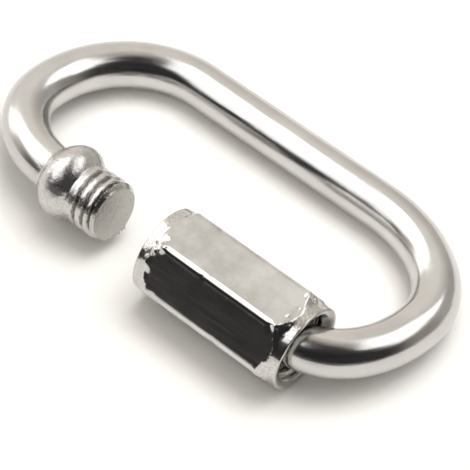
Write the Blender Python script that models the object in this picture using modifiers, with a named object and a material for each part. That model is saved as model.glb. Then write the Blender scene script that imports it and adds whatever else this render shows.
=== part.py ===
"""Chain quick link in polished stainless rod, shown open.

One bent rod carries a swaged collar and a short threaded stub at one end and a
threaded leg at the other. A hexagonal sleeve nut runs along the leg and closes
the mouth between them. X runs along the link, towards the nut. The link lies as
it comes to rest: on its plain bar and on one flat of the nut.
"""

import math

import bmesh
import bpy
from mathutils import Matrix

# Rod and bends, in metres
ROD_DIAMETER = 0.005
BAR_SPACING = 0.0206  # plain bar axis to leg axis
LEFT_FRONT_REACH = 0.009  # how far each quarter of a bend reaches along X
LEFT_BACK_REACH = 0.0114
RIGHT_FRONT_REACH = 0.0076
RIGHT_BACK_REACH = 0.0128
LEFT_CREST_SHIFT = -0.0022  # where a bend reaches furthest, from midway between the bars
RIGHT_CREST_SHIFT = 0.0006

# Stations along the leg side
COLLAR_SETBACK = 0.0023  # end of the left bend to the collar's middle
STUB_REACH = 0.0059  # collar's middle to the stub's end
MOUTH_WIDTH = 0.0065  # stub's end to the open nut
LEG_INSET = 0.0003  # leg's end inside the nut
NUT_OVERHANG = 0.0017  # open nut past the start of the right bend

# Swaged collar, with a low plain shoulder before the stub's thread
COLLAR_HEIGHT = 0.0016  # above the rod
COLLAR_LENGTH = 0.0058
SHOULDER_REACH = 0.0022  # collar's middle to the shoulder's end
SHOULDER_DROP = 0.0001  # below the thread's crests

# Screw thread, rolled on ends that are thicker than the rod
THREAD_DIAMETER = 0.0066
THREAD_DEPTH = 0.0005
THREAD_PITCH = 0.0011
THREAD_CREST = 0.0003
THREAD_ROOT = 0.0002
THREAD_LEAD_IN = 0.0005
THREAD_RUN_OUT = 0.0008
THREAD_NECK = 0.0006  # length over which a threaded end narrows to the rod
LEG_THREAD_LENGTH = 0.0122

# Sleeve nut
NUT_LENGTH = 0.0184
NUT_FLATS = 0.0096
NUT_END_DIAMETER = 0.0094
NUT_CHAMFER_ANGLE = math.radians(22)  # from the axis
NUT_EDGE_RADIUS = 0.00065
BORE_CLEARANCE = 0.0003  # round the thread's crests
COUNTERSINK_DEPTH = 0.001
COUNTERSINK_WIDTH = 0.0003

# Fineness
ROUND_SIDES = 24
ARC_STEPS = 12
EDGE_STEPS = 3
SHARP_ANGLE = math.radians(35)
MERGE_DISTANCE = 0.00001
OVERLAP = 0.0001  # how far a joined shape reaches into the other

# Sizes that follow from those above
ROD_RADIUS = ROD_DIAMETER / 2
THREAD_RADIUS = THREAD_DIAMETER / 2
CORE_RADIUS = THREAD_RADIUS - THREAD_DEPTH
BORE_RADIUS = THREAD_RADIUS + BORE_CLEARANCE
NUT_CORNER = NUT_FLATS / 2 / math.cos(math.pi / 6)
NUT_ROUNDED_CORNER = NUT_CORNER - NUT_EDGE_RADIUS * (1 / math.cos(math.pi / 6) - 1)
BAR_Y = BAR_SPACING / 2
LEG_Y = -BAR_SPACING / 2

STRAIGHT_LENGTH = COLLAR_SETBACK + STUB_REACH + MOUTH_WIDTH + NUT_LENGTH - NUT_OVERHANG
BEND_LEFT_X = (LEFT_FRONT_REACH - RIGHT_FRONT_REACH - STRAIGHT_LENGTH) / 2
BEND_RIGHT_X = BEND_LEFT_X + STRAIGHT_LENGTH
COLLAR_X = BEND_LEFT_X + COLLAR_SETBACK
STUB_END_X = COLLAR_X + STUB_REACH
SHOULDER_X = COLLAR_X + SHOULDER_REACH
NUT_X = STUB_END_X + MOUTH_WIDTH
LEG_END_X = NUT_X + LEG_INSET
LEFT_CREST_X = BEND_LEFT_X - LEFT_FRONT_REACH
RIGHT_CREST_X = BEND_RIGHT_X + RIGHT_FRONT_REACH

# The nut is taller than the rod, so the leg side lies higher than the plain bar
REST_TILT = math.asin((NUT_FLATS / 2 - ROD_RADIUS) / BAR_SPACING)
FRONT_Y = LEG_Y * math.cos(REST_TILT) - NUT_ROUNDED_CORNER
BACK_Y = BAR_Y * math.cos(REST_TILT) + ROD_RADIUS
REST_Y = -(FRONT_Y + BACK_Y) / 2
REST_Z = (NUT_FLATS / 2 + ROD_RADIUS) / 2


def clear_scene():
    for obj in list(bpy.data.objects):
        bpy.data.objects.remove(obj, do_unlink=True)


def new_collection(name):
    collection = bpy.data.collections.new(name)
    bpy.context.scene.collection.children.link(collection)
    return collection


def add_object(name, data, collection):
    obj = bpy.data.objects.new(name, data)
    collection.objects.link(obj)
    return obj


def make_helper(obj):
    obj.hide_render = True
    obj.display_type = "WIRE"
    return obj


def steel(name, colour, roughness):
    material = bpy.data.materials.new(name)
    material.use_nodes = True
    shader = material.node_tree.nodes["Principled BSDF"]
    shader.inputs["Base Color"].default_value = (*colour, 1.0)
    shader.inputs["Metallic"].default_value = 1.0
    shader.inputs["Roughness"].default_value = roughness
    return material


def baked_mesh(obj):
    """The object's mesh with its modifiers applied. The object itself is removed."""
    graph = bpy.context.evaluated_depsgraph_get()
    mesh = bpy.data.meshes.new_from_object(obj.evaluated_get(graph))
    bpy.data.objects.remove(obj, do_unlink=True)
    return mesh


def profile_mesh(name, points):
    """A closed outline of (along X, radius) points in the XY plane, outer side from +X to -X."""
    mesh = bpy.data.meshes.new(name)
    shape = bmesh.new()
    corners = [shape.verts.new((along, radius, 0.0)) for along, radius in points]
    for first, second in zip(corners, corners[1:] + corners[:1]):
        shape.edges.new((first, second))
    shape.to_mesh(mesh)
    shape.free()
    return mesh


def turned(name, points, collection):
    """A solid of revolution about X, from a closed outline that clears the axis."""
    obj = add_object(name, profile_mesh(name, points), collection)
    screw = obj.modifiers.new("turn", "SCREW")
    screw.axis = "X"
    screw.angle = math.tau
    screw.steps = ROUND_SIDES
    screw.render_steps = ROUND_SIDES
    screw.use_merge_vertices = True
    screw.merge_threshold = MERGE_DISTANCE
    return obj


def boolean(obj, cutter, operation, solver="EXACT"):
    modifier = obj.modifiers.new(f"{operation.lower()}_{cutter.name}", "BOOLEAN")
    modifier.operation = operation
    modifier.solver = solver
    modifier.object = cutter


def quarter_arc(centre_x, centre_y, reach_x, reach_y, start_degrees, end_degrees):
    for step in range(ARC_STEPS + 1):
        turn = math.radians(start_degrees + (end_degrees - start_degrees) * step / ARC_STEPS)
        yield (centre_x + reach_x * math.cos(turn), centre_y + reach_y * math.sin(turn), ROD_RADIUS)


def rod_route():
    """The rod as (x, y, radius) stations, from the stub's end round the loop to the leg's end."""
    left_front = (BEND_LEFT_X, LEFT_CREST_SHIFT, LEFT_FRONT_REACH, LEFT_CREST_SHIFT - LEG_Y)
    left_back = (LEFT_CREST_X + LEFT_BACK_REACH, LEFT_CREST_SHIFT, LEFT_BACK_REACH, BAR_Y - LEFT_CREST_SHIFT)
    right_back = (RIGHT_CREST_X - RIGHT_BACK_REACH, RIGHT_CREST_SHIFT, RIGHT_BACK_REACH, BAR_Y - RIGHT_CREST_SHIFT)
    right_front = (BEND_RIGHT_X, RIGHT_CREST_SHIFT, RIGHT_FRONT_REACH, RIGHT_CREST_SHIFT - LEG_Y)
    leg_neck_x = LEG_END_X + LEG_THREAD_LENGTH
    route = [
        (STUB_END_X, LEG_Y, CORE_RADIUS),
        (COLLAR_X, LEG_Y, CORE_RADIUS),
        (COLLAR_X - THREAD_NECK, LEG_Y, ROD_RADIUS),
    ]
    route += quarter_arc(*left_front, -90, -180)
    route += list(quarter_arc(*left_back, 180, 90))[1:]
    route += quarter_arc(*right_back, 90, 0)
    route += list(quarter_arc(*right_front, 0, -90))[1:]
    route += [
        (leg_neck_x + THREAD_NECK, LEG_Y, ROD_RADIUS),
        (leg_neck_x, LEG_Y, CORE_RADIUS),
        (LEG_END_X, LEG_Y, CORE_RADIUS),
    ]
    return route


def swept_rod(collection):
    """The bent rod with its thicker ends, as one mesh with welded end caps."""
    curve = bpy.data.curves.new("rod_route", "CURVE")
    curve.dimensions = "3D"
    curve.twist_mode = "Z_UP"
    curve.bevel_depth = ROD_RADIUS
    curve.bevel_resolution = (ROUND_SIDES - 4) // 2
    curve.use_fill_caps = True
    route = rod_route()
    spline = curve.splines.new("POLY")
    spline.points.add(len(route) - 1)
    for point, (x, y, radius) in zip(spline.points, route):
        point.co = (x, y, 0.0, 1.0)
        point.radius = radius / ROD_RADIUS
    mesh = baked_mesh(add_object("rod_route", curve, collection))
    shape = bmesh.new()
    shape.from_mesh(mesh)
    bmesh.ops.remove_doubles(shape, verts=shape.verts, dist=MERGE_DISTANCE)
    bmesh.ops.recalc_face_normals(shape, faces=shape.faces)
    shape.to_mesh(mesh)
    shape.free()
    return mesh


def collar(helpers):
    """The swaged swelling, an elliptical ring on the rod that meets the low shoulder."""
    half_length = COLLAR_LENGTH / 2
    height = ROD_RADIUS + COLLAR_HEIGHT
    shoulder = THREAD_RADIUS - SHOULDER_DROP
    foot = ROD_RADIUS - 2 * OVERLAP
    inner = ROD_RADIUS / 2
    lean_start = math.acos(shoulder / height)
    lean_end = -math.acos(foot / height)
    points = [(SHOULDER_REACH, inner), (SHOULDER_REACH, shoulder)]
    for step in range(ARC_STEPS + 1):
        lean = lean_start + (lean_end - lean_start) * step / ARC_STEPS
        points.append((half_length * math.sin(lean), height * math.cos(lean)))
    points.append((points[-1][0], inner))
    obj = turned("collar_swelling", points, helpers)
    obj.location = (COLLAR_X, LEG_Y, 0.0)
    return make_helper(obj)


def thread_ridge(name, start_x, end_x, helpers):
    """A right-hand helical ridge whose turns cover start_x to end_x."""
    foot = CORE_RADIUS - OVERLAP
    half_crest = THREAD_CREST / 2
    flank = (THREAD_PITCH - THREAD_ROOT) / 2 - half_crest
    half_foot = half_crest + flank * (THREAD_RADIUS - foot) / THREAD_DEPTH
    outline = [
        (half_foot, foot),
        (half_crest, THREAD_RADIUS),
        (-half_crest, THREAD_RADIUS),
        (-half_foot, foot),
    ]
    source = add_object(name, profile_mesh(name, outline), helpers)
    screw = source.modifiers.new("helix", "SCREW")
    screw.axis = "X"
    screw.angle = math.tau
    screw.screw_offset = THREAD_PITCH
    screw.iterations = math.ceil((end_x - start_x) / THREAD_PITCH) + 2
    screw.steps = ROUND_SIDES
    screw.render_steps = ROUND_SIDES
    mesh = baked_mesh(source)
    shape = bmesh.new()
    shape.from_mesh(mesh)
    open_edges = [edge for edge in shape.edges if edge.is_boundary]
    bmesh.ops.holes_fill(shape, edges=open_edges)
    bmesh.ops.recalc_face_normals(shape, faces=shape.faces)
    bmesh.ops.triangulate(shape, faces=shape.faces)  # a helix's quads are twisted
    shape.to_mesh(mesh)
    shape.free()
    obj = add_object(name, mesh, helpers)
    obj.location = (start_x - THREAD_PITCH, LEG_Y, 0.0)
    return make_helper(obj)


def thread(name, envelope, helpers):
    """A ridge trimmed to its envelope, a list of (x, radius) points from +X to -X."""
    end_x, start_x = envelope[0][0], envelope[-1][0]
    inner = CORE_RADIUS / 2
    trim = turned(f"{name}_trim", [*envelope, (start_x, inner), (end_x, inner)], helpers)
    trim.location = (0.0, LEG_Y, 0.0)
    ridge = thread_ridge(name, start_x, end_x, helpers)
    boolean(ridge, make_helper(trim), "INTERSECT")
    for piece in (trim, ridge):
        piece.rotation_euler = (math.pi / ROUND_SIDES, 0.0, 0.0)  # corners fall between the rod's own
    return ridge


def stub_thread(helpers):
    tip, far = STUB_END_X, SHOULDER_X
    low, high = CORE_RADIUS - 2 * OVERLAP, THREAD_RADIUS + OVERLAP
    envelope = [(tip, low), (tip - THREAD_LEAD_IN, high), (far + THREAD_RUN_OUT, high), (far, low)]
    return thread("stub_thread", envelope, helpers)


def leg_thread(helpers):
    tip, far = LEG_END_X, LEG_END_X + LEG_THREAD_LENGTH
    low, high = CORE_RADIUS - 2 * OVERLAP, THREAD_RADIUS + OVERLAP
    envelope = [(far, low), (far - THREAD_RUN_OUT, high), (tip + THREAD_LEAD_IN, high), (tip, low)]
    return thread("leg_thread", envelope, helpers)


def link_rod(parts, helpers):
    obj = add_object("link_rod", swept_rod(parts), parts)
    for shape in (collar(helpers), stub_thread(helpers), leg_thread(helpers)):
        boolean(obj, shape, "UNION", "MANIFOLD")  # keeps a helix joined to a round rod closed
    obj.data.materials.append(steel("polished_rod", (0.74, 0.73, 0.71), 0.22))
    obj.data.shade_smooth()
    obj.data.set_sharp_from_angle(angle=SHARP_ANGLE)


def hexagon_bar():
    """A bar with rounded long edges, along X from 0 to the nut's length."""
    mesh = bpy.data.meshes.new("sleeve_nut")
    shape = bmesh.new()
    bmesh.ops.create_cone(
        shape, cap_ends=True, segments=6, radius1=NUT_CORNER, radius2=NUT_CORNER, depth=NUT_LENGTH
    )
    long_edges = [
        edge for edge in shape.edges if abs(edge.verts[0].co.z - edge.verts[1].co.z) > NUT_LENGTH / 2
    ]
    bmesh.ops.bevel(
        shape,
        geom=long_edges,
        offset=NUT_EDGE_RADIUS * math.tan(math.pi / 6),
        offset_type="OFFSET",
        segments=EDGE_STEPS,
        profile=0.5,
        affect="EDGES",
    )
    lay_down = Matrix.Rotation(math.radians(90), 4, "Y")
    to_start = Matrix.Translation((NUT_LENGTH / 2, 0.0, 0.0))
    bmesh.ops.transform(shape, matrix=to_start @ lay_down, verts=shape.verts)
    shape.to_mesh(mesh)
    shape.free()
    return mesh


def nut_blank(helpers):
    """The turned form that the hexagon bar is cut to: bore, countersinks and end chamfers."""
    end = NUT_END_DIAMETER / 2
    mouth = BORE_RADIUS + COUNTERSINK_WIDTH
    over = NUT_CORNER + 5 * OVERLAP
    chamfer = (over - end) / math.tan(NUT_CHAMFER_ANGLE)
    outline = [
        (NUT_LENGTH, mouth),
        (NUT_LENGTH, end),
        (NUT_LENGTH - chamfer, over),
        (chamfer, over),
        (0.0, end),
        (0.0, mouth),
        (COUNTERSINK_DEPTH, BORE_RADIUS),
        (NUT_LENGTH - COUNTERSINK_DEPTH, BORE_RADIUS),
    ]
    return make_helper(turned("nut_blank", outline, helpers))


def sleeve_nut(parts, helpers):
    """The nut, with its origin on the leg's axis at its mouth end and one flat facing down."""
    obj = add_object("sleeve_nut", hexagon_bar(), parts)
    blank = nut_blank(helpers)
    boolean(obj, blank, "INTERSECT")
    for piece in (obj, blank):
        piece.location = (NUT_X, LEG_Y, 0.0)
        piece.rotation_euler = (REST_TILT, 0.0, 0.0)
    obj.data.materials.append(steel("turned_nut", (0.72, 0.71, 0.68), 0.28))
    obj.data.shade_smooth()
    obj.data.set_sharp_from_angle(angle=SHARP_ANGLE)


def lay_at_rest(parts, helpers):
    """Everything is drawn in the link's own plane. One empty tilts that plane to where it rests."""
    drawn = [*parts.objects, *helpers.objects]
    plane = add_object("link_plane", None, parts)
    plane.location = (0.0, REST_Y, REST_Z)
    plane.rotation_euler = (-REST_TILT, 0.0, 0.0)
    for obj in drawn:
        obj.parent = plane


def main():
    clear_scene()
    parts = new_collection("chain_quick_link")
    helpers = new_collection("cutters")
    link_rod(parts, helpers)
    sleeve_nut(parts, helpers)
    lay_at_rest(parts, helpers)


main()
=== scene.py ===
import math

import bpy
import bmesh
import numpy as np
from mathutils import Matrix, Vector, noise


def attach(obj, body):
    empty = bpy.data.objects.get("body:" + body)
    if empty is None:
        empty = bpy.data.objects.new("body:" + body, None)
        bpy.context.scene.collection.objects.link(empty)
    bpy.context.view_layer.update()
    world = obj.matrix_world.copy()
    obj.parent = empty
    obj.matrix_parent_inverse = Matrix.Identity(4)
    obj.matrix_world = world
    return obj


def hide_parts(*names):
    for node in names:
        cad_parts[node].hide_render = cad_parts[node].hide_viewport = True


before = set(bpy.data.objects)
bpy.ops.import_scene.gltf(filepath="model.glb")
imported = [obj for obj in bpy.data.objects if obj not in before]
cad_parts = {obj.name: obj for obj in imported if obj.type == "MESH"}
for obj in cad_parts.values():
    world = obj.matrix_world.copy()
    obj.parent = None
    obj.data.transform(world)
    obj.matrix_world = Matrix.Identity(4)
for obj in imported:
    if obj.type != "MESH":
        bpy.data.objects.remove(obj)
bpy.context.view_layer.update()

scene = bpy.context.scene
mm = 0.001
tiny = 0.001 * mm


# What every piece uses

def clearSelection():
    if bpy.context.object and bpy.context.object.mode != "OBJECT":
        bpy.ops.object.mode_set(mode="OBJECT")
    bpy.ops.object.select_all(action="DESELECT")


def workOn(piece):
    clearSelection()
    bpy.context.view_layer.objects.active = piece
    piece.select_set(True)


def bakePlace(piece):
    workOn(piece)
    bpy.ops.object.transform_apply(location=True, rotation=True, scale=True)


def applyModifiers(piece):
    workOn(piece)
    for name in [modifier.name for modifier in piece.modifiers]:
        bpy.ops.object.modifier_apply(modifier=name)


def selectEdges(piece, wanted):  # leaves edit mode on, with only the wanted edges selected
    workOn(piece)
    bpy.ops.object.mode_set(mode="EDIT")
    bpy.ops.mesh.select_mode(type="EDGE")
    bpy.ops.mesh.select_all(action="DESELECT")
    cage = bmesh.from_edit_mesh(piece.data)
    for edge in cage.edges:
        if wanted(edge.verts[0].co, edge.verts[1].co):
            edge.select_set(True)
    bmesh.update_edit_mesh(piece.data)


def readPoints(piece):
    flat = np.empty(len(piece.data.vertices) * 3)
    piece.data.vertices.foreach_get("co", flat)
    return flat.reshape(-1, 3)


def writePoints(piece, points):
    piece.data.vertices.foreach_set("co", points.ravel())
    piece.data.update()


def easeStep(value, start, end):  # rises smoothly from 0 at the start to 1 at the end
    part = np.clip((value - start) / (end - start), 0, 1)
    return part * part * (3 - 2 * part)


def softLow(first, second, width):  # the lower of two, rounded where they meet
    share = np.clip(0.5 + (second - first) / (2 * width), 0, 1)
    return second + (first - second) * share - width * share * (1 - share)


def softHigh(first, second, width):
    return -softLow(-first, -second, width)


def unevenness(points, size, seed):  # smooth noise from -1 to 1 over the given places
    offset = Vector((seed, 0, 0))
    return np.array([noise.noise(Vector(place) / size + offset) for place in points])


def threadWave(along, turn, pitch, flank):
    # 1 on the crest of a right-hand ridge and 0 between two; the flank is in shares of the pitch
    phase = along / pitch - turn / math.tau
    return 1 - easeStep(np.abs(phase - np.round(phase)), *flank)


def roundedFall(fromEnd, rim):  # how far a rounded rim falls away near the end
    return rim * (1 - np.sqrt(1 - np.clip(1 - fromEnd / rim, 0, 1) ** 2))


def ringedBar(name, radius, sides, zones, caps):
    # a straight bar along X whose rings lie close only where the shape needs them
    start, end = zones[0][0], zones[-1][1]
    clearSelection()
    bpy.ops.mesh.primitive_cylinder_add(
        vertices=sides,
        radius=radius,
        depth=end - start,
        end_fill_type=caps,
        location=((start + end) / 2, 0, 0),
        rotation=(0, math.pi / 2, 0),
    )
    bar = bpy.context.object
    bar.name = name
    bar.data.name = name
    bakePlace(bar)
    for low, high, gap in zones[:-1]:
        bpy.ops.object.mode_set(mode="EDIT")
        bpy.ops.mesh.select_all(action="SELECT")
        bpy.ops.mesh.bisect(plane_co=(high, 0, 0), plane_no=(1, 0, 0))
    for low, high, gap in zones:  # no zone needs over 100 cuts, the most that subdivide makes
        def lengthwise(a, b):
            inside = min(a.x, b.x) > low - tiny and max(a.x, b.x) < high + tiny
            return inside and abs(a.x - b.x) > tiny
        selectEdges(bar, lengthwise)
        cuts = round((high - low) / gap) - 1
        if cuts > 0:
            bpy.ops.mesh.subdivide(number_cuts=cuts)
    clearSelection()
    return bar


def finishMesh(piece):
    bakePlace(piece)
    bpy.ops.object.shade_smooth_by_angle(angle=math.radians(40))
    clearSelection()


# Materials

def newFinish(name):
    finish = bpy.data.materials.new(name)
    finish.use_nodes = True
    finish.node_tree.nodes.clear()
    return finish, finish.node_tree


def addNode(tree, kind, **settings):
    node = tree.nodes.new(kind)
    for key, value in settings.items():
        if key in node.inputs:
            node.inputs[key].default_value = value
        else:
            setattr(node, key, value)
    return node


def addNoise(tree, place, scale, stretch=(1, 1, 1), detail=3.0):
    spread = addNode(tree, "ShaderNodeMapping")
    spread.inputs["Scale"].default_value = stretch
    tree.links.new(place, spread.inputs["Vector"])
    pattern = addNode(tree, "ShaderNodeTexNoise", Scale=scale, Detail=detail, Roughness=0.6)
    tree.links.new(spread.outputs["Vector"], pattern.inputs["Vector"])
    return pattern.outputs["Fac"]


def addRange(tree, value, low, high, toLow, toHigh):
    span = addNode(tree, "ShaderNodeMapRange")
    ends = {"From Min": low, "From Max": high, "To Min": toLow, "To Max": toHigh}
    for socket, number in ends.items():
        span.inputs[socket].default_value = number
    tree.links.new(value, span.inputs["Value"])
    return span.outputs["Result"]


def addBlend(tree, share, first, second):
    blend = addNode(tree, "ShaderNodeMix", data_type="RGBA")
    tree.links.new(share, blend.inputs[0])
    for socket, colour in ((6, first), (7, second)):
        if isinstance(colour, tuple):
            blend.inputs[socket].default_value = (*colour, 1)
        else:
            tree.links.new(colour, blend.inputs[socket])
    return blend.outputs[2]


def addMath(tree, operation, first, second):
    result = addNode(tree, "ShaderNodeMath", operation=operation)
    tree.links.new(first, result.inputs[0])
    tree.links.new(second, result.inputs[1])
    return result.outputs[0]


def addBump(tree, height, depth, before=None):
    bump = addNode(tree, "ShaderNodeBump", Distance=depth)
    tree.links.new(height, bump.inputs["Height"])
    if before:
        tree.links.new(before, bump.inputs["Normal"])
    return bump.outputs["Normal"]


steelPattern = {  # what the rod and the nut share; a stretch below 1 draws the pattern out along X
    "lineStretch": (0.06, 1, 1),
    "swellStretch": (0.5, 1, 1),
    "pitStretch": (0.6, 1, 1),
    "cloudSpan": (0.35, 0.65),  # a noise keeps near 0.5, so a narrow span of it is used
    "grainSpan": (0.4, 0.6),
    "lineSpan": (0.3, 0.7),
}


def steelFinish(name, look):
    # lines run along the part; satin marks where it was pressed or turned, and dirt with painted
    # shade darkens its grooves and end face
    shared = steelPattern
    finish, tree = newFinish(name)
    output = addNode(tree, "ShaderNodeOutputMaterial")
    shader = addNode(tree, "ShaderNodeBsdfPrincipled", Metallic=1.0)
    tree.links.new(shader.outputs[0], output.inputs[0])
    place = addNode(tree, "ShaderNodeAttribute", attribute_name="straightPlace").outputs["Vector"]
    satin = addNode(tree, "ShaderNodeAttribute", attribute_name="satin").outputs["Fac"]
    # this attribute darkens the thread grooves and the stub's end face: dirt together with painted
    # shade
    dirtAndShade = addNode(tree, "ShaderNodeAttribute", attribute_name="dirtAndShade").outputs["Fac"]
    cloud = addNoise(tree, place, look["cloudScale"])
    lines = addNoise(tree, place, look["lineScale"], shared["lineStretch"], 2.0)
    grain = addNoise(tree, place, look["grainScale"])
    swell = addNoise(tree, place, look["swellScale"], shared["swellStretch"], 1.0)
    pits = addNoise(tree, place, look["pitScale"], shared["pitStretch"], 2.0)
    # colour
    clouds = addRange(tree, cloud, *shared["cloudSpan"], 0, 1)
    plain = addBlend(tree, clouds, look["darkTone"], look["paleTone"])
    grains = addRange(tree, grain, *shared["grainSpan"], 0, 1)
    worn = addBlend(tree, grains, look["satinDark"], look["satinPale"])
    colour = addBlend(tree, satin, plain, worn)
    colour = addBlend(tree, dirtAndShade, colour, look["dirtAndShadeTone"])
    tree.links.new(colour, shader.inputs["Base Color"])
    # gloss
    gloss = addRange(tree, lines, *shared["lineSpan"], look["glossy"], look["matt"])
    matting = addRange(tree, satin, 0, 1, 0, look["satinMatt"])
    tree.links.new(addMath(tree, "ADD", gloss, matting), shader.inputs["Roughness"])
    # relief
    normal = addBump(tree, swell, look["swellDepth"])
    normal = addBump(tree, lines, look["lineDepth"], normal)
    normal = addBump(tree, addMath(tree, "MULTIPLY", pits, satin), look["pitDepth"], normal)
    grainShare = addRange(tree, satin, 0, 1, look["grainShare"], 1)
    roughGrain = addMath(tree, "MULTIPLY", grain, grainShare)
    normal = addBump(tree, roughGrain, look["grainDepth"], normal)
    tree.links.new(normal, shader.inputs["Normal"])
    return finish


def keepPattern(piece, values):  # what the finish reads is kept as the mesh's own attributes
    for name, numbers in values.items():
        kind, field = ("FLOAT_VECTOR", "vector") if numbers.ndim == 2 else ("FLOAT", "value")
        layer = piece.data.attributes.new(name, kind, "POINT")
        layer.data.foreach_set(field, numbers.ravel())


rodFinish = steelFinish("polishedRod", {
    "darkTone": (0.55, 0.543, 0.53),
    "paleTone": (0.61, 0.605, 0.593),
    "satinDark": (0.52, 0.51, 0.493),
    "satinPale": (0.62, 0.615, 0.602),
    # dark tone painted into the grooves and onto the end face: dirt with painted shade
    "dirtAndShadeTone": (0.28, 0.255, 0.23),
    "glossy": 0.15,
    "matt": 0.25,
    "satinMatt": 0.09,  # added where the metal is satin
    "cloudScale": 160.0,
    "lineScale": 3000.0,
    "grainScale": 4200.0,
    "swellScale": 420.0,
    "pitScale": 1500.0,
    "swellDepth": 0.02 * mm,
    "lineDepth": 0.012 * mm,
    "grainDepth": 0.02 * mm,
    "pitDepth": 0.06 * mm,
    "grainShare": 0.2,  # of the grain's depth, on the plain polished metal
})
nutFinish = steelFinish("turnedNut", {
    "darkTone": (0.52, 0.51, 0.493),
    "paleTone": (0.67, 0.665, 0.652),
    "satinDark": (0.5, 0.488, 0.467),
    "satinPale": (0.62, 0.61, 0.593),
    # dark tone painted into the bore: dirt with painted shade
    "dirtAndShadeTone": (0.28, 0.255, 0.23),
    "glossy": 0.06,
    "matt": 0.1,
    "satinMatt": 0.08,
    "cloudScale": 300.0,
    "lineScale": 4000.0,
    "grainScale": 3600.0,
    "swellScale": 380.0,
    "pitScale": 1300.0,
    "swellDepth": 0.001 * mm,
    "lineDepth": 0.00004 * mm,
    "grainDepth": 0.012 * mm,
    "pitDepth": 0.03 * mm,
    "grainShare": 0.004,
})
print("materials ready")


# The bent rod, made straight as a bar with its collar and threads and then bent round the loop

linkShape = {
    "loop": {
        "rodRadius": 2.5 * mm,
        "legY": -10.3 * mm,
        "barY": 10.3 * mm,
        "stubEndX": -6.8 * mm,
        "bendLeftX": -15.0 * mm,
        "leftCrest": (-24.0 * mm, -2.2 * mm),
        "barLeftX": -12.6 * mm,
        "barRightX": 11.2 * mm,
        "rightCrest": (24.0 * mm, 0.6 * mm),
        "bendRightX": 16.4 * mm,
        "legEndX": 0.0,
        "tilt": math.radians(6.4105),  # the nut is taller than the rod, so the link lies tilted
        "restPlace": (0.0, 1.4708 * mm, 3.65 * mm),
        "wobble": 0.02 * mm,
        "wobbleLength": 7 * mm,
    },
    "grid": {  # how close the rings of the grid lie, and where
        "sides": 96,
        "faceDepth": 0.3 * mm,
        "faceRing": 0.04 * mm,
        "stubDepth": 4.5 * mm,
        "threadRing": 0.065 * mm,
        "pastBend": 1.2 * mm,
        "collarRing": 0.1 * mm,
        "rodRing": 0.45 * mm,
        "legSplit": 6 * mm,
    },
    "thread": {
        "pitch": 1.1 * mm,
        "root": 2.8 * mm,
        "crest": 3.3 * mm,
        "flank": (0.2, 0.42),
        "endRadius": 2.86 * mm,
        "endBevel": 0.5 * mm,
        "endRounding": 0.04 * mm,
        "stubShoulder": 3.58 * mm,
        "shoulderRise": 0.1 * mm,
        "shoulderRadius": 3.2 * mm,
        "shoulderWear": 0.4,  # of the crest's wear
        "legLength": 12.2 * mm,
        "legNeck": 0.6 * mm,
        "runOut": 0.8 * mm,
        "crestWear": 0.05 * mm,
        "wearLengths": (1.3 * mm, 0.5 * mm),
        "offAxis": 0.12 * mm,
    },
    "endFace": {  # the stub was sheared off a little askew, which left a ragged burr under its end
        "lean": math.radians(8),
        "leanTowards": (0.62, 0.78),
        "leanDepth": 1.6 * mm,
        "burrTurns": (math.radians(-126), math.radians(-44)),
        "burrEase": 0.15,
        "burrHeight": 0.34 * mm,
        "burrDepth": 0.2 * mm,
        "burrSpread": (0.6, 0.8),  # along the stub and away from its middle
        "burrTooth": 0.09,
    },
    "collar": {
        "middle": 5.9 * mm,
        "halfLength": 2.9 * mm,
        "radius": 4.1 * mm,
        "rodFillet": 0.5 * mm,
        "threadFillet": 0.03 * mm,
        "dent": 0.05 * mm,
        "dentLength": 2.6 * mm,
        "reach": 1.3,  # how far past its half length its fillets go
    },
    "wear": {  # where the satin lies, and the dirt with painted shade
        "satinPast": (1.6 * mm, 4.5 * mm),  # fades out beyond the collar's middle
        "stubSatin": 0.45,
        "satinRise": 0.6 * mm,
        "legSatin": 0.6,
        "legFade": 1 * mm,
        # how dark the thread grooves get: dirt with painted shade in the recesses
        "grooveDirtAndShade": 0.8,
        "grooveTop": 0.15 * mm,
        "grooveSpan": 0.35 * mm,
        "pastShoulder": 0.3 * mm,
        # the sheared end face is darkened: painted shade
        "faceShade": 0.5,
        "faceSkin": 0.02 * mm,
        "cleanEnd": 0.1 * mm,
    },
}


def guideCurve():
    shape = linkShape["loop"]
    reach = 0.5523  # handle length that makes a quarter of an ellipse
    run = 1 * mm  # handle along a straight stretch
    legY, barY = shape["legY"], shape["barY"]
    legLeft, barLeft = shape["bendLeftX"], shape["barLeftX"]
    legRight, barRight = shape["bendRightX"], shape["barRightX"]
    leftX, leftY = shape["leftCrest"]
    rightX, rightY = shape["rightCrest"]
    stations = [  # place, handle before, handle after
        ((shape["stubEndX"], legY), (run, 0), (-run, 0)),
        ((legLeft, legY), (run, 0), (reach * (leftX - legLeft), 0)),
        ((leftX, leftY), (0, reach * (legY - leftY)), (0, reach * (barY - leftY))),
        ((barLeft, barY), (reach * (leftX - barLeft), 0), (run, 0)),
        ((barRight, barY), (-run, 0), (reach * (rightX - barRight), 0)),
        ((rightX, rightY), (0, reach * (barY - rightY)), (0, reach * (legY - rightY))),
        ((legRight, legY), (reach * (rightX - legRight), 0), (-run, 0)),
        ((shape["legEndX"], legY), (run, 0), (-run, 0)),
    ]
    clearSelection()
    bpy.ops.curve.primitive_bezier_curve_add(location=(0, 0, 0))
    guide = bpy.context.object
    guide.name = "rodGuide"
    guide.data.dimensions = "3D"
    guide.data.twist_mode = "Z_UP"
    guide.data.resolution_u = 64
    points = guide.data.splines[0].bezier_points
    points.add(len(stations) - len(points))
    for point, ((x, y), before, after) in zip(points, stations):
        point.handle_left_type = "FREE"
        point.handle_right_type = "FREE"
        point.co = (x, y, 0)
        point.handle_left = (x + before[0], y + before[1], 0)
        point.handle_right = (x + after[0], y + after[1], 0)
    return guide


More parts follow.
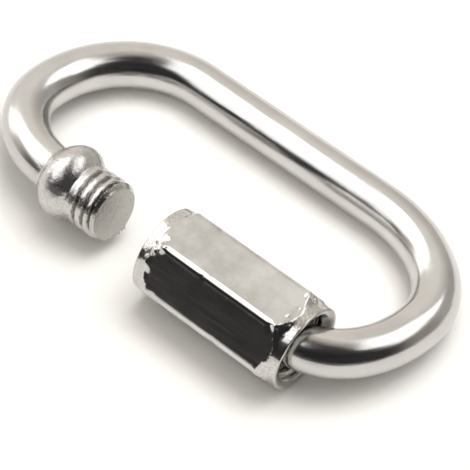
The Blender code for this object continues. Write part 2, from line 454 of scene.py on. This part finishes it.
def shapeStraightBar(bar, length):
    points = readPoints(bar)
    along = points[:, 0].copy()
    toEnd = length - along
    ends = np.minimum(along, toEnd)
    radial = np.hypot(points[:, 1], points[:, 2])
    turn = np.arctan2(points[:, 2], points[:, 1])
    around = points[:, 1:] / np.maximum(radial, tiny)[:, None]
    loop, thread, collar = linkShape["loop"], linkShape["thread"], linkShape["collar"]
    face, spots = linkShape["endFace"], linkShape["wear"]
    rod = loop["rodRadius"]
    wave = threadWave(along, turn, thread["pitch"], thread["flank"])
    straight = np.c_[along, around * 3 * mm]  # near the surface of a bar that is still straight
    longWear, shortWear = thread["wearLengths"]
    wear = unevenness(straight, longWear, 5.0) + 0.5 * unevenness(straight, shortWear, 9.0)
    height = thread["crest"] - thread["root"] + thread["crestWear"] * wear
    # stub: thread, then the plain shoulder that the collar grows out of
    shoulderStart = thread["stubShoulder"]
    plain = easeStep(along, shoulderStart, shoulderStart + thread["shoulderRise"])
    ridge = thread["root"] + height * wave
    shoulder = thread["shoulderRadius"] + thread["shoulderWear"] * thread["crestWear"] * wear
    stub = ridge + (np.maximum(shoulder, ridge) - ridge) * plain
    stub = np.where(along < collar["middle"], stub, rod)
    # leg: the thread fades out and the thicker end narrows to the rod
    legStart, neckStart = thread["legLength"], thread["legLength"] + thread["legNeck"]
    fade = easeStep(legStart - toEnd, 0, thread["runOut"])
    neck = easeStep(toEnd, legStart, neckStart)
    leg = (thread["root"] + height * wave * fade) * (1 - neck) + rod * neck
    # both ends are bevelled
    target = np.where(along < length / 2, stub, leg)
    slope = (thread["crest"] - thread["endRadius"]) / thread["endBevel"]
    target = softLow(target, thread["endRadius"] + slope * ends, thread["endRounding"])
    # collar
    offMiddle = (along - collar["middle"]) / collar["halfLength"]
    ball = collar["radius"] * np.sqrt(np.clip(1 - offMiddle**2, 0, 1))
    ball += collar["dent"] * unevenness(straight, collar["dentLength"], 1.0)
    width = np.where(along > collar["middle"], collar["rodFillet"], collar["threadFillet"])
    target = np.where(np.abs(offMiddle) < collar["reach"], softHigh(target, ball, width), target)
    # the plain rod is never quite even
    threaded = (toEnd < neckStart) | (along < collar["middle"])
    wobble = loop["wobble"] * unevenness(straight, loop["wobbleLength"], 2.0)
    target += np.where(threaded, 0, wobble)
    scale = np.where(radial > tiny, target / np.maximum(radial, tiny), 1)
    points[:, 1] *= scale
    points[:, 2] *= scale
    # the askew end face and its burr
    lean = math.tan(face["lean"]) * (1 - easeStep(along, 0, face["leanDepth"]))
    towardsY, towardsZ = face["leanTowards"]
    points[:, 0] += lean * (towardsY * points[:, 1] + towardsZ * points[:, 2])
    first, last = face["burrTurns"]
    ease = face["burrEase"]
    inBurr = easeStep(turn, first, first + ease) * (1 - easeStep(turn, last - ease, last))
    teeth = unevenness(np.c_[turn, turn * 0, turn * 0], face["burrTooth"], 4.0)
    ragged = np.clip(0.55 + 1.1 * teeth, 0, 1)
    atEnd = (1 - easeStep(along, 0, face["burrDepth"])) * (radial > tiny)
    burr = face["burrHeight"] * ragged * inBurr * atEnd
    burrAlong, burrOut = face["burrSpread"]
    points[:, 0] -= burrAlong * burr
    points[:, 1:] += around * burr[:, None] * burrOut
    points[:, 1] += thread["offAxis"] * (1 - easeStep(along, shoulderStart, collar["middle"]))
    writePoints(bar, points)
    # satin, and dirt with painted shade in the grooves, and painted shade on the end face
    near, far = spots["satinPast"]
    nearCollar = 1 - easeStep(along, collar["middle"] + near, collar["middle"] + far)
    onBall = easeStep(along, shoulderStart, shoulderStart + spots["satinRise"])
    onBall = spots["stubSatin"] + (1 - spots["stubSatin"]) * onBall
    onLeg = 1 - easeStep(toEnd, legStart, legStart + spots["legFade"])
    grooveTop = thread["crest"] - spots["grooveTop"]
    # the deeper in a groove, the darker: painted shade with dirt
    inGroove = np.clip((grooveTop - target) / spots["grooveSpan"], 0, 1)
    cut = (along < shoulderStart + spots["pastShoulder"]) | (toEnd < legStart)
    # the end face is darkened evenly as painted shade
    onFace = np.where(ends < spots["faceSkin"], spots["faceShade"], 0)
    keepPattern(bar, {
        "straightPlace": np.c_[along, points[:, 1:]],
        "satin": np.maximum(nearCollar * onBall, spots["legSatin"] * onLeg),
        "dirtAndShade": np.where(cut & (ends > spots["cleanEnd"]), spots["grooveDirtAndShade"] * inGroove, onFace),
    })


def makeLink():
    shape, rings, thread = linkShape["loop"], linkShape["grid"], linkShape["thread"]
    guide = guideCurve()
    length = guide.data.splines[0].calc_length(resolution=256)
    faceEnd, stubEnd = rings["faceDepth"], rings["stubDepth"]
    collarEnd = shape["stubEndX"] - shape["bendLeftX"] + rings["pastBend"]
    legStart = length - thread["legLength"] - thread["legNeck"]
    halfWay = collarEnd + (legStart - collarEnd) / 2
    legSplit = length - rings["legSplit"]
    zones = [  # start, end, gap between rings
        (0, faceEnd, rings["faceRing"]),
        (faceEnd, stubEnd, rings["threadRing"]),
        (stubEnd, collarEnd, rings["collarRing"]),
        (collarEnd, halfWay, rings["rodRing"]),
        (halfWay, legStart, rings["rodRing"]),
        (legStart, legSplit, rings["threadRing"]),
        (legSplit, length, rings["threadRing"]),
    ]
    bar = ringedBar("bentRod", shape["rodRadius"], rings["sides"], zones, "NGON")
    shapeStraightBar(bar, length)
    bend = bar.modifiers.new("bend", "CURVE")
    bend.object = guide
    bend.deform_axis = "POS_X"
    applyModifiers(bar)
    bar.rotation_euler = (-shape["tilt"], 0, 0)
    bar.location = shape["restPlace"]
    finishMesh(bar)
    bpy.data.objects.remove(guide)
    bar.data.materials.append(rodFinish)
    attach(bar, "link")
    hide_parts("link_rod")
    print("link made,", len(bar.data.polygons), "faces")


# The sleeve nut: an outer skin and a threaded bore, joined round both mouths

nutShape = {
    "body": {
        "place": (-0.3 * mm, -8.7646 * mm, 4.8 * mm),
        "length": 18.4 * mm,
        "flats": 9.6 * mm,
        "edgeRadius": 0.85 * mm,
        "askewFlat": (math.radians(150), math.radians(1.2)),  # which way it faces, and by how much
        "endRadius": 4.68 * mm,
        "endSlope": 0.07,
        "cornerStart": 0.95 * mm,
        "cornerSlope": 0.62,
        "cornerRounding": 0.12 * mm,
        "runOutRounding": 0.03 * mm,
        "wander": 0.14 * mm,
        "wanderLengths": (1.9 * mm, 0.6 * mm),
        "rimRound": 0.12 * mm,
        "turnedEdge": (-0.06 * mm, 0.02 * mm),  # where the satin of the turned ends starts
        "plainSatin": 0.1,
    },
    "bore": {
        "mouthRadius": 4.05 * mm,
        "mouthDepth": 0.8 * mm,
        "mouthRounding": 0.05 * mm,
        "lip": 0.02 * mm,
        "threadCrest": 3.42 * mm,
        "threadRoot": 3.78 * mm,
        "pitch": 1.1 * mm,
        "groove": (0.1, 0.42),
        "satin": 0.8,
        "dirtAndShade": (0.15, 0.5),  # dirt with painted shade, on the crests and in the grooves
    },
    "grid": {  # where its rings lie close, and how its sides are shared out
        "sides": 168,
        "edgeSides": 12,  # of the sides in each sixth, those that lie round an edge
        "edgeSpan": math.radians(10),
        "endDepth": 3.4 * mm,
        "nickedPart": (6.8 * mm, 8.4 * mm),
        "fineRing": 0.06 * mm,
        "plainRing": 0.2 * mm,
        "boreSplits": (6 * mm, 12 * mm),
        "boreRing": 0.09 * mm,
    },
    "marks": [  # nicks and burrs on the edges: along, turn in degrees, width, height, in mm
        (7.4, 121, 0.24, -0.04),
        (7.75, 117, 0.3, 0.02),
        (16.3, 119, 0.35, 0.12),
        (16.0, 123, 0.3, -0.12),
        (16.4, 62, 0.4, 0.1),
        (16.9, 58, 0.3, -0.1),
        (16.55, 98, 0.3, 0.07),
        (16.75, 88, 0.25, -0.06),
        (1.6, 116, 0.45, -0.18),
        (2.3, 121, 0.3, 0.1),
        (1.2, 135, 0.5, -0.08),
        (1.9, 106, 0.3, 0.05),
        (1.0, 146, 0.4, 0.07),
        (1.5, 158, 0.35, -0.07),
        (1.3, 178, 0.3, 0.08),
        (16.6, 181, 0.4, 0.08),
        (10.9, 182, 0.35, -0.06),
        (3.1, 180, 0.3, -0.06),
        (9.2, 242, 0.4, -0.1),
        (14.8, 300, 0.4, -0.1),
        (2.0, 301, 0.4, 0.08),
        (16.6, 1, 0.4, 0.1),
        (5.2, 60, 0.35, -0.08),
    ],
}
sixth = math.pi / 3


def angleFrom(turn, middle):
    return np.angle(np.exp(1j * (turn - middle)))


def spreadTurns(turn):  # draws the lengthwise lines of the grid together at the hexagon's edges
    rings = nutShape["grid"]
    perSixth = rings["sides"] // 6
    step = np.round(turn / math.tau * rings["sides"]).astype(int)
    edge = np.floor((step + perSixth / 2) / perSixth)
    offEdge = step - edge * perSixth
    half = rings["edgeSides"] / 2
    near = offEdge / half * rings["edgeSpan"] / 2
    flatShare = (np.abs(offEdge) - half) / (perSixth / 2 - half)
    far = rings["edgeSpan"] / 2 + flatShare * (sixth - rings["edgeSpan"]) / 2
    return edge * sixth + np.where(np.abs(offEdge) <= half, near, np.sign(offEdge) * far)


def hexagonRadius(turn):  # edges at 0, 60, 120 degrees and so on, each rounded
    shape = nutShape["body"]
    offEdge = np.abs(turn - np.round(turn / sixth) * sixth)
    apothem = shape["flats"] / 2
    rounding = shape["edgeRadius"]
    centre = (apothem - rounding) / math.cos(sixth / 2)
    tangent = sixth / 2 - math.atan((apothem - rounding) * math.tan(sixth / 2) / apothem)
    flat = apothem / np.cos(sixth / 2 - offEdge)
    rise = np.sqrt(np.clip(rounding**2 - (centre * np.sin(offEdge)) ** 2, 0, 1))
    arc = centre * np.cos(offEdge) + rise
    # one flat leans, which fades out over the rounded edges beside it
    facing, askew = shape["askewFlat"]
    offFlat = angleFrom(turn, facing)
    inFlat = np.clip((sixth / 2 - np.abs(offFlat)) / tangent, 0, 1)
    lean = 1 + math.tan(askew) * np.tan(np.clip(offFlat, -sixth / 2, sixth / 2)) * inFlat
    return np.where(offEdge > tangent, flat, arc) * lean


def skinRadius(along, turn):
    shape = nutShape["body"]
    straight = np.c_[along, np.cos(turn) * 5 * mm, np.sin(turn) * 5 * mm]
    longWander, shortWander = shape["wanderLengths"]
    wander = unevenness(straight, longWander, 3.0) + 0.9 * unevenness(straight, shortWander, 7.0)
    fromEnd = np.minimum(along, shape["length"] - along)
    # the ends are turned round, and rise quickly where they run out at the hexagon's edges
    ring = shape["endRadius"] + fromEnd * shape["endSlope"]
    rise = shape["endRadius"] + (fromEnd - shape["cornerStart"]) * shape["cornerSlope"]
    limit = softHigh(ring, rise + shape["wander"] * wander, shape["cornerRounding"])
    hexagon = hexagonRadius(turn)
    radius = softLow(hexagon, limit, shape["runOutRounding"])
    for start, degrees, width, height in nutShape["marks"]:
        offTurn = angleFrom(turn, math.radians(degrees))
        away = np.hypot(along - start * mm, offTurn * 5.2 * mm) / (width * mm)
        radius += height * mm * np.exp(-away**2)
    turned = easeStep(hexagon - limit, *shape["turnedEdge"])
    return radius - roundedFall(fromEnd, shape["rimRound"]), turned


def placeRound(piece, points, radius, turn):
    points[:, 1] = radius * np.cos(turn)
    points[:, 2] = radius * np.sin(turn)
    writePoints(piece, points)


def shapeSkin(skin):
    points = readPoints(skin)
    turn = spreadTurns(np.arctan2(points[:, 2], points[:, 1]))
    radius, turned = skinRadius(points[:, 0], turn)
    placeRound(skin, points, radius, turn)
    plain = nutShape["body"]["plainSatin"]
    keepPattern(skin, {
        "straightPlace": points,
        "satin": plain + (1 - plain) * turned,
        "dirtAndShade": np.zeros(len(points)),
    })


def shapeBore(bore):
    shape, body = nutShape["bore"], nutShape["body"]
    rim = body["rimRound"]
    points = readPoints(bore)
    along = points[:, 0].copy()
    turn = spreadTurns(np.arctan2(points[:, 2], points[:, 1]))
    crest, root = shape["threadCrest"], shape["threadRoot"]
    inGroove = 1 - threadWave(along, turn, shape["pitch"], shape["groove"])
    radius = crest + (root - crest) * inGroove
    # the mouth flares, is rounded, and meets the skin's outermost ring
    fromEnd = np.minimum(along, body["length"] - along)
    inside = np.maximum(fromEnd - shape["lip"], 0)
    mouth = shape["mouthRadius"]
    flare = mouth - (mouth - crest) * inside / shape["mouthDepth"]
    radius = softHigh(radius, flare, shape["mouthRounding"]) + roundedFall(inside, rim)
    radius = np.where(fromEnd < tiny, skinRadius(along, turn)[0], radius)
    placeRound(bore, points, radius, turn)
    onCrest, deep = shape["dirtAndShade"]
    keepPattern(bore, {
        "straightPlace": points,
        "satin": np.full(len(points), shape["satin"]),
        # the bore is darker inside and darkest in its grooves: dirt with painted shade
        "dirtAndShade": (onCrest + (deep - onCrest) * inGroove) * (inside > rim),
    })


def makeNut():
    shape, boreShape, rings = nutShape["body"], nutShape["bore"], nutShape["grid"]
    length, rim, lip = shape["length"], shape["rimRound"], boreShape["lip"]
    endDepth, fine, plain = rings["endDepth"], rings["fineRing"], rings["plainRing"]
    nickStart, nickEnd = rings["nickedPart"]
    skinZones = [  # start, end, gap between rings
        (0, rim, rim / 5),
        (rim, endDepth, fine),
        (endDepth, nickStart, plain),
        (nickStart, nickEnd, fine),
        (nickEnd, length - endDepth, plain),
        (length - endDepth, length - rim, fine),
        (length - rim, length, rim / 5),
    ]
    firstSplit, secondSplit = rings["boreSplits"]
    boreRing = rings["boreRing"]
    boreZones = [
        (0, lip, lip),
        (lip, lip + rim, rim / 4),
        (lip + rim, firstSplit, boreRing),
        (firstSplit, secondSplit, boreRing),
        (secondSplit, length - lip - rim, boreRing),
        (length - lip - rim, length - lip, rim / 4),
        (length - lip, length, lip),
    ]
    skin = ringedBar("sleeveNut", shape["flats"] / 2, rings["sides"], skinZones, "NOTHING")
    shapeSkin(skin)
    bore = ringedBar("nutBore", boreShape["threadCrest"], rings["sides"], boreZones, "NOTHING")
    shapeBore(bore)
    workOn(skin)
    bore.select_set(True)
    bpy.ops.object.join()
    bpy.ops.object.mode_set(mode="EDIT")
    bpy.ops.mesh.select_all(action="SELECT")
    bpy.ops.mesh.remove_doubles(threshold=tiny)
    bpy.ops.mesh.normals_make_consistent(inside=False)
    clearSelection()
    skin.location = shape["place"]
    finishMesh(skin)
    skin.data.materials.append(nutFinish)
    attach(skin, "nut")
    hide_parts("sleeve_nut")
    print("nut made,", len(skin.data.polygons), "faces")


makeLink()
makeNut()


# Floor, lights and camera

studio = {
    "floorSize": 2.0,
    "floorTone": (0.945, 0.93, 0.905),
    "floorLift": 0.02,  # added where the camera, metal or glass sees the floor
    "darkSide": (0.441, -0.830, 0.342),  # the dark part of the room, in front and a little up
    "roomTones": [  # share of the way round from the far side to the dark side, and colour
        (0.0, (0.84, 0.78, 0.72)),
        (0.17, (0.84, 0.78, 0.72)),
        (0.36, (0.86, 0.83, 0.77)),
        (0.52, (0.55, 0.49, 0.44)),
        (0.72, (0.036, 0.034, 0.034)),
        (1.0, (0.021, 0.021, 0.023)),
    ],
    "roomStrength": 1.2,
    "dimSide": (0.49, 0.855, 0.17),  # low at the back right, where the room is dimmer
    "dimSpan": (0.5, 0.92),
    "dimShare": 0.5,
    "lampDistance": 0.5,
    "lamps": [  # turn from the back to the right, height, width, depth, strength, lights, tint
        (-116, 55, 0.62, 0.48, 1.8, "metal", (1, 1, 1)),
        (-97, 14, 0.20, 0.36, 0.96, "metal", (1, 1, 1)),
        (40, 52, 0.42, 0.26, 1.8, "both", (1, 1, 1)),
        (10, 74, 0.34, 0.34, 3.8, "floor", (1, 1, 1)),
        (-160, 78, 0.9, 0.9, 1.1, "floor", (1, 0.96, 0.91)),
    ],
    "cameraPlace": (0.09586, -0.12458, 0.19949),
    "cameraTurn": (38.023, -2.7315, 40.5219),
    "cameraLens": 189.16,
}


def makeFloor():
    clearSelection()
    bpy.ops.mesh.primitive_plane_add(size=studio["floorSize"])
    floor = bpy.context.object
    floor.name = "floor"
    finish, tree = newFinish("paleFloor")
    output = addNode(tree, "ShaderNodeOutputMaterial")
    shader = addNode(tree, "ShaderNodeBsdfPrincipled", Roughness=0.9)
    shader.inputs["Base Color"].default_value = (*studio["floorTone"], 1)
    shader.inputs["Specular IOR Level"].default_value = 0.0
    shader.inputs["Emission Color"].default_value = (1, 1, 1, 1)
    path = addNode(tree, "ShaderNodeLightPath").outputs
    seen = addMath(tree, "ADD", path["Is Camera Ray"], path["Is Glossy Ray"])
    seen = addMath(tree, "ADD", seen, path["Is Transmission Ray"])
    lift = addRange(tree, seen, 0, 1, 0, studio["floorLift"])
    tree.links.new(lift, shader.inputs["Emission Strength"])
    tree.links.new(shader.outputs[0], output.inputs[0])
    floor.data.materials.append(finish)


def makeRoom():
    world = bpy.data.worlds.new("studio")
    scene.world = world
    world.use_nodes = True
    tree = world.node_tree
    background = tree.nodes["Background"]
    background.inputs["Strength"].default_value = studio["roomStrength"]
    direction = addNode(tree, "ShaderNodeTexCoord").outputs["Generated"]

    def nearness(side):
        product = addNode(tree, "ShaderNodeVectorMath", operation="DOT_PRODUCT")
        product.inputs[1].default_value = side
        tree.links.new(direction, product.inputs[0])
        return product.outputs["Value"]

    tones = addNode(tree, "ShaderNodeValToRGB")
    tones.color_ramp.interpolation = "EASE"
    steps = tones.color_ramp.elements
    while len(steps) < len(studio["roomTones"]):
        steps.new(0.5)
    for step, (place, colour) in zip(steps, studio["roomTones"]):
        step.position = place
        step.color = (*colour, 1)
    tree.links.new(addRange(tree, nearness(studio["darkSide"]), -1, 1, 0, 1), tones.inputs["Fac"])
    dimStart, dimFull = studio["dimSpan"]
    dim = addRange(tree, nearness(studio["dimSide"]), dimStart, dimFull, 0, studio["dimShare"])
    room = addBlend(tree, dim, tones.outputs["Color"], (0, 0, 0))
    tree.links.new(room, background.inputs["Color"])
    world.cycles_visibility.diffuse = False  # so that the floor keeps its shadows


def makeLamps():
    for heading, height, width, depth, strength, lights, tint in studio["lamps"]:
        turn, rise = math.radians(heading), math.radians(height)
        level = math.cos(rise)
        place = Vector((math.sin(turn) * level, math.cos(turn) * level, math.sin(rise)))
        clearSelection()
        bpy.ops.object.light_add(type="AREA", location=place * studio["lampDistance"])
        lamp = bpy.context.object
        lamp.data.shape = "RECTANGLE"
        lamp.data.size = width
        lamp.data.size_y = depth
        lamp.data.energy = math.pi * width * depth * strength
        lamp.data.color = tint
        lamp.rotation_euler = place.to_track_quat("Z", "Y").to_euler()
        lamp.visible_diffuse = lights != "metal"
        lamp.visible_glossy = lights != "floor"


def makeCamera():
    clearSelection()
    bpy.ops.object.camera_add(location=studio["cameraPlace"])
    camera = bpy.context.object
    camera.rotation_euler = [math.radians(angle) for angle in studio["cameraTurn"]]
    camera.data.lens = studio["cameraLens"]
    camera.data.sensor_width = 36
    camera.data.clip_start = 0.01
    camera.data.clip_end = 10
    scene.camera = camera


makeFloor()
makeRoom()
makeLamps()
makeCamera()
scene.view_settings.view_transform = "Standard"
print("stage ready")
